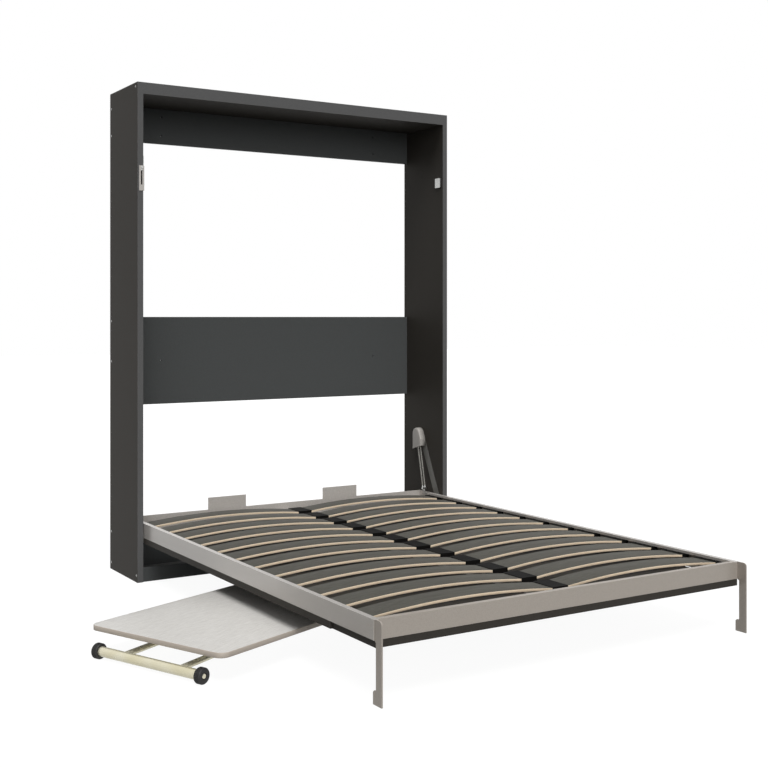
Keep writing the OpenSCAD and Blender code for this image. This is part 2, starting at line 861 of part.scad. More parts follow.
module spring_tubes(side) {
    flip(side) on_spring() difference() {
        union() {
            translate([0, 0, -spring_tube_l]) cylinder(r = spring_tube_d / 2, h = spring_tube_l - spring_tube_top);
            translate([0, 0, -spring_tube_top - cut]) cylinder(r = spring_rod_d / 2 + cut, h = spring_tube_top);
            rod_x(-spring_eye_w / 2, spring_eye_w / 2, 0, 0, spring_eye_r);
        }
        rod_x(-spring_end_w, spring_end_w, 0, 0, spring_pin_r + pin_gap);
        translate([0, 0, -spring_tube_l - cut])
            cylinder(r = spring_rod_d / 2 + pin_gap, h = spring_tube_l - spring_bore_top + cut);
    }
}

module spring_tubes_left() { color(black_c) spring_tubes(-1); }
module spring_tubes_right() { color(black_c) spring_tubes(1); }

module spring_rods(side) {
    flip(side) on_spring() {
        translate([0, 0, -spring_l]) cylinder(r = spring_rod_d / 2, h = spring_l - spring_rod_top);
        rod_x(-spring_end_w / 2, spring_end_w / 2, 0, -spring_l, spring_end_r);
        translate([0, 0, -spring_l]) cylinder(r = spring_rod_d / 2 + cut, h = spring_neck_l);
    }
}

module spring_rods_left() { color(zinc_c) spring_rods(-1); }
module spring_rods_right() { color(zinc_c) spring_rods(1); }

// Desk
module place_desk() {
    translate([desk_x, desk_y, 0]) rotate(desk_turn) children();
}

module desk_top() {
    color(desk_c) place_desk() translate([0, 0, desk_under]) linear_extrude(desk_t)
        translate([desk_corner_r - desk_half, desk_corner_r - desk_w / 2])
            rounded_square(2 * desk_half, desk_w, desk_corner_r);
}

module hinge_brackets() {
    inner = outer_post_y + post_w / 2 + post_gap;
    color(zinc_c) place_desk() for (s = [0, 1]) mirror([0, s, 0]) {
        difference() {
            block([upper_x - hinge_plate_w / 2, inner, upper_z - desk_pin_r - hinge_plate_t],
                [upper_x + hinge_plate_w / 2, inner + hinge_plate_t, desk_under]);
            rod_y(upper_x, inner - cut, inner + hinge_plate_t + cut, upper_z, desk_pin_r);
        }
        block([upper_x - hinge_plate_w / 2, inner + hinge_plate_t, desk_under - hinge_foot_t],
            [upper_x + hinge_plate_w / 2, inner + hinge_plate_t + hinge_foot_w, desk_under]);
    }
}

module pivot_rod() {
    inner = outer_post_y + post_w / 2 + post_gap;
    color(zinc_c) place_desk() {
        rod_y(upper_x, -inner - hinge_plate_t, inner + hinge_plate_t, upper_z, desk_pin_r);
        for (s = [0, 1]) mirror([0, s, 0])
            rod_y(upper_x, inner + hinge_plate_t, inner + hinge_plate_t + post_gap, upper_z, desk_pin_r + post_gap);
    }
}

module slide_rails() {
    inner = inner_post_y + post_w / 2 + post_gap;
    x0 = -upper_x - desk_pin_r - slide_rail_end;
    x1 = -upper_x + slide_travel + desk_pin_r + slide_rail_end;
    slot = desk_pin_r + slide_gap;
    color(zinc_c) place_desk() for (s = [0, 1]) mirror([0, s, 0]) difference() {
        block([x0, inner, upper_z - slide_rail_drop], [x1, inner + slide_rail_w, desk_under]);
        block([x0 + slide_rail_end - slide_gap, inner - cut, upper_z - slot],
            [x1 - slide_rail_end + slide_gap, inner + slide_rail_w - slide_rail_wall, upper_z + slot]);
    }
}

// A flat oval tube from x = 0 to l with a solid plug at its far end, its flat sides up and down
module oval(w, h) {
    square([w - h, h], center = true);
    for (s = [-1, 1]) translate([s * (w - h) / 2, 0]) circle(r = h / 2);
}

module oval_post(l) {
    rotate([90, 0, 90]) difference() {
        linear_extrude(l) oval(post_w, post_h);
        translate([0, 0, -cut]) linear_extrude(l - plug_l + cut) oval(post_w - 2 * post_wall, post_h - 2 * post_wall);
    }
}

// A post that runs from the foot bar at the left up to the right end of the top
module post_pair(y_mid) {
    for (s = [-1, 1]) translate([-foot_x, s * y_mid, wheel_r]) rotate([0, -desk_tilt, 0]) difference() {
        oval_post(arm_l + post_end);
        rod_y(0, -post_w, post_w, 0, foot_bar_d / 2);
        rod_y(lower_arm, -post_w, post_w, 0, desk_pin_r + pin_gap);
        rod_y(arm_l, -post_w, post_w, 0, desk_pin_r + pin_gap);
    }
}

module outer_posts() { color(gold_c) place_desk() post_pair(outer_post_y); }
module inner_posts() { color(gold_c) place_desk() mirror([1, 0, 0]) post_pair(inner_post_y); }

module foot_bar(x) {
    end = wheel_track / 2 - wheel_w / 2 - face_gap;
    difference() {
        rod_y(x, -end, end, wheel_r, foot_bar_d / 2);
        rod_y(x, -end + bar_disc_t, end - bar_disc_t, wheel_r, foot_bar_d / 2 - bar_wall);
        rod_y(x, -end - cut, end + cut, wheel_r, axle_r + pin_gap);
    }
}

module foot_bar_left() { color(gold_c) place_desk() foot_bar(-foot_x); }
module foot_bar_right() { color(gold_c) place_desk() foot_bar(foot_x); }

module axle(x) {
    end = wheel_track / 2 + wheel_w / 2 - hub_recess + face_gap;
    rod_y(x, -end, end, wheel_r, axle_r);
    for (s = [0, 1]) mirror([0, s, 0]) rod_y(x, end, end + axle_head_t, wheel_r, axle_head_r);
}

module axle_left() { color(zinc_c) place_desk() axle(-foot_x); }
module axle_right() { color(zinc_c) place_desk() axle(foot_x); }

module wheel_profile() {
    half = wheel_w / 2;
    bore = axle_r + pin_gap;
    square_w = wheel_r - bore;
    difference() {
        union() {
            translate([bore, -half + tread_round]) square([square_w, wheel_w - 2 * tread_round]);
            translate([bore, -half]) square([square_w - tread_round, wheel_w]);
            for (s = [-1, 1]) translate([wheel_r - tread_round, s * (half - tread_round)]) circle(r = tread_round, $fn = 24);
        }
        translate([0, half - hub_recess]) square([hub_r, hub_recess + cut]);
    }
}

module wheel_pair(x) {
    for (s = [0, 1]) mirror([0, s, 0]) translate([x, wheel_track / 2, wheel_r]) rotate([-90, 0, 0])
        rotate_extrude() wheel_profile();
}

module wheels_left() { color(black_c) place_desk() wheel_pair(-foot_x); }
module wheels_right() { color(black_c) place_desk() wheel_pair(foot_x); }

module centre_bolts() {
    inner = inner_post_y - post_w / 2 - face_gap;
    outer = outer_post_y + post_w / 2 + face_gap;
    between = outer_post_y - post_w / 2 - post_gap / 2;
    color(zinc_c) place_desk() for (s = [0, 1]) mirror([0, s, 0]) {
        rod_y(0, inner, outer, cross_z, desk_pin_r);
        rod_y(0, outer, outer + bolt_head_t, cross_z, bolt_head_r);
        rod_y(0, inner - bolt_head_t, inner, cross_z, bolt_head_r);
        rod_y(0, between - bolt_washer_t / 2, between + bolt_washer_t / 2, cross_z, bolt_head_r);
    }
}

module sliding_rod() {
    end = inner_post_y + post_w / 2 + rail_rod_end;
    color(zinc_c) place_desk() rod_y(-upper_x, -end, end, upper_z, desk_pin_r);
}

side_board_left();
side_board_right();
top_board();
plinth();
top_back_rail();
mid_back_board();
low_back_rail();
board_screws();
hinge_plate_left();
hinge_plate_right();
plate_screws();
pivot_pins();
spring_pins();
strut_cover_left();
strut_cover_right();
latch_plate();
latch_slider();
catch_cases();
catch_tongue_left();
catch_tongue_right();
side_rail_left();
side_rail_right();
head_rail();
foot_rail();
centre_beam();
front_panel();
head_plates();
panel_brackets();
slats_left();
slats_right();
slat_holders_left();
slat_holders_centre();
slat_holders_right();
pivot_brackets();
pivot_bushes();
stud_brackets();
leg_pins();
leg_left();
leg_right();
spring_tubes_left();
spring_tubes_right();
spring_rods_left();
spring_rods_right();
desk_top();
hinge_brackets();
slide_rails();
pivot_rod();
outer_posts();
foot_bar_left();
axle_left();
centre_bolts();
wheels_left();
inner_posts();
foot_bar_right();
sliding_rod();
axle_right();
wheels_right();
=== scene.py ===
import math

import bmesh
import bpy
from mathutils import Matrix, Vector


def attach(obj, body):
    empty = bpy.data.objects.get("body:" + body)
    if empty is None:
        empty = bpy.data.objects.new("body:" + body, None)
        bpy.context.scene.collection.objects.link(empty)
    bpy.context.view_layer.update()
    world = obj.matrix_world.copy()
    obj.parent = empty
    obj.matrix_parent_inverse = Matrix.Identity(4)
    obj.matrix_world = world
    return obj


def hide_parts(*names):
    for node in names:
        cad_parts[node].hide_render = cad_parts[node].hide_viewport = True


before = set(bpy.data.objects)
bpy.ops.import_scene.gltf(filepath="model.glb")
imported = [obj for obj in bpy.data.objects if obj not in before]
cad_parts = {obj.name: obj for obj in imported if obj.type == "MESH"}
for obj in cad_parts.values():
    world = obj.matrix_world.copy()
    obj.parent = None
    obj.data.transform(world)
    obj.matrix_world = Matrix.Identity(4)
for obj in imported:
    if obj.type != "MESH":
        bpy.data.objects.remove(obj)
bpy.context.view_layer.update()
print("frame loaded:", len(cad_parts), "nodes")

mm = 0.001

# Where the desk stands on the floor, in millimetres, and how far it is turned
deskStand = {"x": -804.0, "y": -1448.4, "turnDegrees": 22.7}
deskTurn = math.radians(deskStand["turnDegrees"])
deskSpot = Matrix.Translation((deskStand["x"] * mm, deskStand["y"] * mm, 0))
deskPlace = deskSpot @ Matrix.Rotation(deskTurn, 4, "Z")


# sRGB hex to the linear colour that a socket takes
def linearColour(code):
    parts = [int(code[i:i + 2], 16) / 255 for i in (1, 3, 5)]
    return tuple(p / 12.92 if p <= 0.04045 else ((p + 0.055) / 1.055) ** 2.4 for p in parts) + (1.0,)


# Adds one node: settings go to sockets or properties, links are (source node, output) for each socket
def addNode(tree, kind, settings=None, links=None):
    node = tree.nodes.new(kind)
    for key, value in (settings or {}).items():
        if isinstance(key, str) and hasattr(node, key):
            setattr(node, key, value)
        else:
            node.inputs[key].default_value = value
    for key, (source, output) in (links or {}).items():
        tree.links.new(source.outputs[output], node.inputs[key])
    return node


def newMaterial(name, colour, roughness, metallic=0.0):
    material = bpy.data.materials.new(name)
    material.use_nodes = True
    tree = material.node_tree
    shader = tree.nodes["Principled BSDF"]
    shader.inputs["Base Color"].default_value = linearColour(colour)
    shader.inputs["Roughness"].default_value = roughness
    shader.inputs["Metallic"].default_value = metallic
    return material, tree, shader


# Noise whose grains are about sizeMm across, on the piece's own coordinates
def grainNoise(tree, sizeMm, detail=2.0, stretch=(1, 1, 1)):
    coords = addNode(tree, "ShaderNodeTexCoord")
    mapping = addNode(tree, "ShaderNodeMapping", {"Scale": stretch}, {"Vector": (coords, "Object")})
    return addNode(tree, "ShaderNodeTexNoise", {"Scale": 1 / (sizeMm * mm), "Detail": detail},
                   {"Vector": (mapping, "Vector")})


# Turns a noise into a colour between two hex values
def twoTone(tree, noise, low, high, output="Fac", lowAt=0.35, highAt=0.65):
    ramp = addNode(tree, "ShaderNodeValToRGB", links={"Fac": (noise, output)})
    ramp.color_ramp.elements[0].position = lowAt
    ramp.color_ramp.elements[0].color = linearColour(low)
    ramp.color_ramp.elements[1].position = highAt
    ramp.color_ramp.elements[1].color = linearColour(high)
    return ramp


def addBump(tree, shader, noise, depthMm, strength):
    bump = addNode(tree, "ShaderNodeBump", {"Strength": strength, "Distance": depthMm * mm},
                   {"Height": (noise, "Fac")})
    tree.links.new(bump.outputs["Normal"], shader.inputs["Normal"])


def roughnessFrom(tree, shader, noise, low, high):
    limits = {"From Min": 0.3, "From Max": 0.7, "To Min": low, "To Max": high}
    span = addNode(tree, "ShaderNodeMapRange", limits, {"Value": (noise, "Fac")})
    tree.links.new(span.outputs["Result"], shader.inputs["Roughness"])


# Places of the colour sockets on a mix node, whose names are shared with its other kinds
mixSockets = {"factor": 0, "first": 6, "second": 7, "result": 2}


# Melamine faced chipboard in anthracite, pressed with a fine pearl: matt and dark. The tones given to its
# copies hold painted light and shade
def makeMelamine(name, low, high, litAlongYLow=None, litAlongYHigh=None):
    material, tree, shader = newMaterial(name, high, 0.5)
    pearl = grainNoise(tree, 2.2, 3.0)  # coarser than such a pearl is, so that it shows
    face = twoTone(tree, pearl, low, high)
    tone = face.outputs["Color"]
    # Painted light: the second tone lightens the faces that look along Y
    if litAlongYLow:
        litAlongY = paintedLightAlongY(tree, face, twoTone(tree, pearl, litAlongYLow, litAlongYHigh))
        tone = litAlongY.outputs[mixSockets["result"]]
    tree.links.new(tone, shader.inputs["Base Color"])
    roughnessFrom(tree, shader, pearl, 0.55, 0.68)
    shader.inputs["Specular IOR Level"].default_value = 0.12
    addBump(tree, shader, pearl, 0.03, 0.4)
    return material


# Painted light: a lighter tone on the faces that look along Y, standing in for the front light on the boards'
# edges, and the face tone on the rest
def paintedLightAlongY(tree, face, band):
    coords = addNode(tree, "ShaderNodeTexCoord")
    axes = addNode(tree, "ShaderNodeSeparateXYZ", links={"Vector": (coords, "Normal")})
    front = addNode(tree, "ShaderNodeMath", {"operation": "MULTIPLY"}, {0: (axes, "Y"), 1: (axes, "Y")})
    pick = addNode(tree, "ShaderNodeMapRange", {"From Min": 0.45, "From Max": 0.55},
                   {"Value": (front, "Value")})
    mixed = addNode(tree, "ShaderNodeMix", {"data_type": "RGBA"})
    tree.links.new(pick.outputs["Result"], mixed.inputs[mixSockets["factor"]])
    tree.links.new(face.outputs["Color"], mixed.inputs[mixSockets["first"]])
    tree.links.new(band.outputs["Color"], mixed.inputs[mixSockets["second"]])
    return mixed


# Powder coated steel in silver, with the orange peel of baked powder. The foot rail and legs are the warmer
# and duller one, the side rails and plates the paler one with more sheen
def makeSilverCoat(name, low, high, smoothest, roughest):
    material, tree, shader = newMaterial(name, low, roughest, 0.15)
    peel = grainNoise(tree, 1.8, 2.0)
    tone = twoTone(tree, peel, low, high)
    tree.links.new(tone.outputs["Color"], shader.inputs["Base Color"])
    roughnessFrom(tree, shader, peel, smoothest, roughest)
    addBump(tree, shader, peel, 0.02, 0.4)
    return material


# Hot rolled steel plate under a thin dark grey coat
def makeDarkSteelPlate():
    material, tree, shader = newMaterial("darkSteelPlate", "#5c5b57", 0.4, 0.4)
    grain = grainNoise(tree, 1.5, 2.0)
    roughnessFrom(tree, shader, grain, 0.35, 0.5)
    addBump(tree, shader, grain, 0.02, 0.3)
    return material


# Bright zinc plate on turned and pressed steel: cool metal with faint cloudiness
def makeBrightZinc():
    material, tree, shader = newMaterial("brightZinc", "#b8b9b7", 0.3, 1.0)
    cloud = grainNoise(tree, 5, 2.0)
    tone = twoTone(tree, cloud, "#adaeac", "#c2c3c1")
    tree.links.new(tone.outputs["Color"], shader.inputs["Base Color"])
    roughnessFrom(tree, shader, cloud, 0.24, 0.36)
    return material


# Injection moulded polyamide, black, with a fine spark eroded texture
def makeBlackPolyamide():
    material, tree, shader = newMaterial("blackPolyamide", "#0d0c0b", 0.7)
    shader.inputs["Specular IOR Level"].default_value = 0.06
    grain = grainNoise(tree, 1.2, 2.0)
    roughnessFrom(tree, shader, grain, 0.62, 0.78)
    addBump(tree, shader, grain, 0.04, 0.5)
    return material


# Stone grey lacquer on the drawn tubes of the gas springs, half gloss with a soft line of light
def makeSpringLacquer():
    material, tree, shader = newMaterial("greySpringLacquer", "#77756f", 0.34, 0.3)
    cloud = grainNoise(tree, 12, 2.0)
    roughnessFrom(tree, shader, cloud, 0.25, 0.36)
    return material


# Moulded ABS in stone grey, half matt
def makeGreyAbs():
    material, tree, shader = newMaterial("greyAbs", "#a5a19c", 0.42)
    grain = grainNoise(tree, 1.0, 2.0)
    roughnessFrom(tree, shader, grain, 0.36, 0.48)
    addBump(tree, shader, grain, 0.02, 0.4)
    return material


# Dark grey paper foil on the faces of the slats, with the faint grain of the beech under it
def makeSlatFoil():
    material, tree, shader = newMaterial("greySlatFoil", "#53524c", 0.68)
    grain = grainNoise(tree, 3.0, 3.0, (0.02, 1, 1))
    tone = twoTone(tree, grain, "#4b4943", "#5b5a54")
    tree.links.new(tone.outputs["Color"], shader.inputs["Base Color"])
    shader.inputs["Specular IOR Level"].default_value = 0.15
    addBump(tree, shader, grain, 0.03, 0.4)
    return material


# Pressed beech plies seen edge on: thin light and darker lines along the slat
def makeBeechPly():
    material, tree, shader = newMaterial("beechPly", "#d2bc98", 0.5)
    uv = addNode(tree, "ShaderNodeUVMap", {"uv_map": "along"})
    split = addNode(tree, "ShaderNodeSeparateXYZ", links={"Vector": (uv, "UV")})
    lines = addNode(tree, "ShaderNodeMath", {"operation": "MULTIPLY", 1: 6.0}, {0: (split, "Y")})
    wave = addNode(tree, "ShaderNodeMath", {"operation": "PINGPONG", 1: 0.5}, {0: (lines, "Value")})
    fibre = addNode(tree, "ShaderNodeMapping", {"Scale": (8, 260, 1)}, {"Vector": (uv, "UV")})
    noise = addNode(tree, "ShaderNodeTexNoise", {"Scale": 1.0, "Detail": 3.0}, {"Vector": (fibre, "Vector")})
    mixed = addNode(tree, "ShaderNodeMath", {"operation": "MULTIPLY_ADD", 1: 0.9},
                    {0: (wave, "Value"), 2: (noise, "Fac")})
    tone = twoTone(tree, mixed, "#d6bc9a", "#f5e3ca", "Value", 0.35, 0.9)
    tree.links.new(tone.outputs["Color"], shader.inputs["Base Color"])
    return material


# Pale melamine of the desk top, a near plain warm white with a faint pressed grain
def makePaleMelamine():
    material, tree, shader = newMaterial("paleMelamine", "#d6d4cf", 0.42)
    coords = addNode(tree, "ShaderNodeTexCoord")
    turned = {"vector_type": "TEXTURE", "Rotation": (0, 0, deskTurn), "Scale": (30 * mm, 1.6 * mm, 30 * mm)}
    along = addNode(tree, "ShaderNodeMapping", turned, {"Vector": (coords, "Object")})
    grain = addNode(tree, "ShaderNodeTexNoise", {"Scale": 1.0, "Detail": 3.0}, {"Vector": (along, "Vector")})
    tone = twoTone(tree, grain, "#cbc8c3", "#dfddd9")
    tree.links.new(tone.outputs["Color"], shader.inputs["Base Color"])
    addBump(tree, shader, grain, 0.02, 0.3)
    return material


# Edge band of the desk, ABS in a greige that is darker than the face
def makeEdgeBand():
    material, tree, shader = newMaterial("greigeEdgeBand", "#c2b7ab", 0.45)
    grain = grainNoise(tree, 1.5, 2.0)
    roughnessFrom(tree, shader, grain, 0.4, 0.5)
    return material


# Pale gold lacquer over polished steel tube: a soft metal sheen with long highlights
def makePaleGold():
    material, tree, shader = newMaterial("paleGoldLacquer", "#dfd9bf", 0.3, 0.5)
    cloud = grainNoise(tree, 90, 1.0)
    tone = twoTone(tree, cloud, "#dad3b4", "#e5e0c9")
    tree.links.new(tone.outputs["Color"], shader.inputs["Base Color"])
    roughnessFrom(tree, shader, cloud, 0.2, 0.3)
    return material


# Moulded black rubber with a dry matt skin
def makeBlackRubber():
    material, tree, shader = newMaterial("blackRubber", "#131212", 0.62)
    grain = grainNoise(tree, 1.0, 2.0)
    roughnessFrom(tree, shader, grain, 0.52, 0.7)
    addBump(tree, shader, grain, 0.05, 0.5)
    return material


# One anthracite in lit and shaded copies. Sides: a darker warm face tone, painted shade with painted warm
# light from the left, and a lighter tone on faces along Y, painted front light. Backs: a lighter tone,
# painted front light. Panel: darker and a little warm, painted shade under the slats
sideMelamine = makeMelamine("anthraciteMelamineSides", "#34312d", "#3d3a36", "#5a5a5a", "#656565")
backMelamine = makeMelamine("anthraciteMelamineBacks", "#494b4b", "#525454")
panelMelamine = makeMelamine("anthraciteMelaminePanel", "#35322e", "#3e3b37")
silverCoat = makeSilverCoat("silverPowderCoat", "#a39b92", "#aea69d", 0.38, 0.48)
paleSilverCoat = makeSilverCoat("paleSilverPowderCoat", "#b9b4ae", "#c5c0bb", 0.2, 0.3)
darkPlate = makeDarkSteelPlate()
zinc = makeBrightZinc()
polyamide = makeBlackPolyamide()
springLacquer = makeSpringLacquer()
greyAbs = makeGreyAbs()
slatFoil = makeSlatFoil()
beechPly = makeBeechPly()
paleMelamine = makePaleMelamine()
edgeBand = makeEdgeBand()
paleGold = makePaleGold()
blackRubber = makeBlackRubber()
print("materials made")


# CAD nodes that keep their shape get a material and a small broken edge
def breakEdges(piece, widthMm):
    weld = piece.modifiers.new("weld", "WELD")
    weld.merge_threshold = 0.005 * mm
    bevel = piece.modifiers.new("brokenEdge", "BEVEL")
    bevel.limit_method = "ANGLE"
    bevel.angle_limit = math.radians(40)
    bevel.width = widthMm * mm
    bevel.segments = 2
    bevel.use_clamp_overlap = True


def dressNodes(names, material, edgeMm=0.0):
    for name in names:
        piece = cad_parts[name]
        piece.data.materials.clear()
        piece.data.materials.append(material)
        if edgeMm:
            breakEdges(piece, edgeMm)


dressNodes(["side_board_left", "side_board_right", "top_board"], sideMelamine, 0.8)
dressNodes(["plinth", "top_back_rail", "mid_back_board", "low_back_rail"], backMelamine, 0.8)
dressNodes(["front_panel"], panelMelamine, 0.8)
dressNodes(["side_rail_left", "side_rail_right", "head_rail", "head_plates", "centre_beam", "latch_plate"],
           paleSilverCoat, 0.5)
dressNodes(["foot_rail", "leg_pins"], silverCoat, 0.5)
dressNodes(["leg_left", "leg_right"], silverCoat, 0.8)
dressNodes(["hinge_plate_left", "hinge_plate_right", "plate_screws", "panel_brackets"], darkPlate, 0.4)
dressNodes(["board_screws", "pivot_pins", "spring_pins", "latch_slider", "catch_tongue_left",
            "catch_tongue_right", "pivot_brackets", "stud_brackets", "spring_rods_left", "spring_rods_right",
            "hinge_brackets", "slide_rails", "pivot_rod", "centre_bolts", "sliding_rod"], zinc)
dressNodes(["catch_cases", "pivot_bushes"], polyamide)
dressNodes(["spring_tubes_left", "spring_tubes_right"], springLacquer)
dressNodes(["slat_holders_left", "slat_holders_centre", "slat_holders_right"], polyamide, 1.5)
dressNodes(["outer_posts", "inner_posts", "foot_bar_left", "foot_bar_right", "axle_left", "axle_right"],
           paleGold)
print("frame dressed")


# Turns a finished bmesh into a piece that rides a body
def newPiece(name, bm, materials, body, nodes):
    mesh = bpy.data.meshes.new(name)
    bmesh.ops.recalc_face_normals(bm, faces=bm.faces)
    bm.to_mesh(mesh)
    bm.free()
    for material in materials:
        mesh.materials.append(material)
    for polygon in mesh.polygons:
        polygon.use_smooth = True
    mesh.set_sharp_from_angle(angle=math.radians(35))
    piece = bpy.data.objects.new(name, mesh)
    bpy.context.scene.collection.objects.link(piece)
    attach(piece, body)
    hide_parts(*nodes)
    return piece


def addBox(bm, low, high):
    made = bmesh.ops.create_cube(bm, size=1)["verts"]
    low, high = Vector(low), Vector(high)
    bmesh.ops.scale(bm, vec=high - low, verts=made)
    bmesh.ops.translate(bm, vec=(low + high) / 2, verts=made)


def bevelEdges(bm, edges, offset, segments):
    bmesh.ops.bevel(bm, geom=edges, offset=offset, offset_type="OFFSET", segments=segments,
                    affect="EDGES", profile=0.5, material=-1, clamp_overlap=True)


# Sprung slats: flat strips with rounded long edges, bent to the crown
slats = {"rows": 12, "first": -322.0, "pitch": 171.591, "width": 108.0, "thick": 10.0, "crownR": 3299.39,
         "innerX": 14.0, "outerX": 796.0, "crownZ": 270.0, "edgeRound": 1.6, "edgeSteps": 2, "cuts": 23}


def makeSlats(name, side, node):
    s = slats
    middle = (s["innerX"] + s["outerX"]) / 2
    bm = bmesh.new()
    addBox(bm, (s["innerX"], -s["width"] / 2, -s["thick"]), (s["outerX"], s["width"] / 2, 0))
    lengthwise = [e for e in bm.edges if abs(e.verts[0].co.x - e.verts[1].co.x) > 1]
    bevelEdges(bm, lengthwise, s["edgeRound"], s["edgeSteps"])
    along = [e for e in bm.edges if abs(e.verts[0].co.x - e.verts[1].co.x) > 1]
    bmesh.ops.subdivide_edges(bm, edges=along, cuts=s["cuts"], use_grid_fill=True)
    bm.normal_update()
    uv = bm.loops.layers.uv.new("along")
    for face in bm.faces:
        face.material_index = 0 if face.normal.z > 0.8 else 1
        for loop in face.loops:
            loop[uv].uv = (loop.vert.co.x * mm, 1 + loop.vert.co.z / s["thick"])
    for v in bm.verts:
        v.co.z += s["crownZ"] - (s["crownR"] - math.sqrt(s["crownR"] ** 2 - (v.co.x - middle) ** 2))
        v.co.x *= side
    first = list(bm.verts) + list(bm.edges) + list(bm.faces)
    for row in range(1, s["rows"]):
        copy = bmesh.ops.duplicate(bm, geom=first)["geom"]
        verts = [g for g in copy if isinstance(g, bmesh.types.BMVert)]
        bmesh.ops.translate(bm, vec=(0, -row * s["pitch"], 0), verts=verts)
    bmesh.ops.translate(bm, vec=(0, s["first"], 0), verts=bm.verts)
    bmesh.ops.scale(bm, vec=(mm, mm, mm), verts=bm.verts)
    newPiece(name, bm, [slatFoil, beechPly], "bed", [node])


makeSlats("slatsLeft", -1, "slats_left")
makeSlats("slatsRight", 1, "slats_right")
print("slats made")

# Desk top: melamine board with round corners and a greige edge band
desk = {"halfX": 491.3, "halfY": 320.0, "low": 87.0, "thick": 18.0, "corner": 36.0, "cornerSteps": 12,
        "edgeRound": 1.5, "edgeSteps": 2}


def makeDeskTop():
    d = desk
    bm = bmesh.new()
    addBox(bm, (-d["halfX"], -d["halfY"], d["low"]), (d["halfX"], d["halfY"], d["low"] + d["thick"]))
    upright = [e for e in bm.edges if abs(e.verts[0].co.z - e.verts[1].co.z) > 1]
    bevelEdges(bm, upright, d["corner"], d["cornerSteps"])
    rims = [e for e in bm.edges if abs(e.verts[0].co.z - e.verts[1].co.z) < 0.1]
    bevelEdges(bm, rims, d["edgeRound"], d["edgeSteps"])
    bm.normal_update()
    for face in bm.faces:
        face.material_index = 0 if abs(face.normal.z) > 0.95 else 1
    bmesh.ops.scale(bm, vec=(mm, mm, mm), verts=bm.verts)
    bmesh.ops.transform(bm, matrix=deskPlace, verts=bm.verts)
    newPiece("deskTop", bm, [paleMelamine, edgeBand], "desk", ["desk_top"])


makeDeskTop()
print("desk top made")

# Domed spring covers: an upright shell with a round top, softened all round its outer rim
cover = {"rear": 38.0, "front": 41.0, "rise": 48.0, "rearDrop": 67.0, "frontDrop": 44.0, "topR": 33.0,
         "round": 9.0, "roundSteps": 6, "wall": 2.0, "pinY": -166.0, "pinZ": 550.0, "inner": 815.0,
         "outer": 784.0, "topSteps": 14, "frontSteps": 4}


def makeCover(name, side, node):
    c = cover
    rear, front = c["pinY"] + c["rear"], c["pinY"] - c["front"]
    topC = (rear - c["topR"], c["pinZ"] + c["rise"] - c["topR"])
    frontC = (front + c["topR"], c["pinZ"] - c["topR"] / 2)
    turn = math.pi / 2 + math.atan2(topC[1] - frontC[1], topC[0] - frontC[0])
    outline = [(rear, c["pinZ"] - c["rearDrop"])]
    arcs = ((topC, 0, turn, c["topSteps"]), (frontC, turn, math.pi, c["frontSteps"]))
    for centre, low, high, steps in arcs:
        for i in range(steps + 1):
            a = low + (high - low) * i / steps
            outline.append((centre[0] + c["topR"] * math.cos(a), centre[1] + c["topR"] * math.sin(a)))
    outline.append((front, c["pinZ"] - c["frontDrop"]))
    bm = bmesh.new()
    start = bm.faces.new([bm.verts.new((side * c["inner"], y, z)) for y, z in outline])
    pulled = bmesh.ops.extrude_face_region(bm, geom=[start])["geom"]
    verts = [g for g in pulled if isinstance(g, bmesh.types.BMVert)]
    bmesh.ops.translate(bm, vec=(side * (c["outer"] - c["inner"]), 0, 0), verts=verts)
    rim = [e for e in bm.edges if all(abs(v.co.x - side * c["outer"]) < 0.01 for v in e.verts)]
    lowest = [e for e in rim if max(v.co.z for v in e.verts) < c["pinZ"] - c["frontDrop"] + 0.1]
    bevelEdges(bm, [e for e in rim if e not in lowest], c["round"], c["roundSteps"])
    bm.normal_update()
    slope = math.atan2(c["rearDrop"] - c["frontDrop"], c["rear"] + c["front"])
    under = Vector((0, -math.sin(slope), -math.cos(slope)))
    opened = [f for f in bm.faces
              if f.normal.dot(under) > 0.999 or abs(f.calc_center_median().x) > c["inner"] - 0.01]
    bmesh.ops.delete(bm, geom=opened, context="FACES_ONLY")
    bmesh.ops.scale(bm, vec=(mm, mm, mm), verts=bm.verts)
    piece = newPiece(name, bm, [greyAbs], "cabinet", [node])
    shell = piece.modifiers.new("shell", "SOLIDIFY")
    shell.thickness = c["wall"] * mm
    shell.offset = -1


makeCover("coverLeft", -1, "strut_cover_left")
makeCover("coverRight", 1, "strut_cover_right")
print("spring covers made")

# Foot knobs that turn as wheels: ribbed tread, recessed hub
wheels = {"r": 27.5, "rib": 1.2, "ribs": 40, "ribTaper": 0.35, "width": 27.0, "round": 4.0, "roundSteps": 3,
          "hubR": 11.0, "hubTaper": 0.5, "hubDepth": 4.0, "track": 492.0, "footX": 510.302}


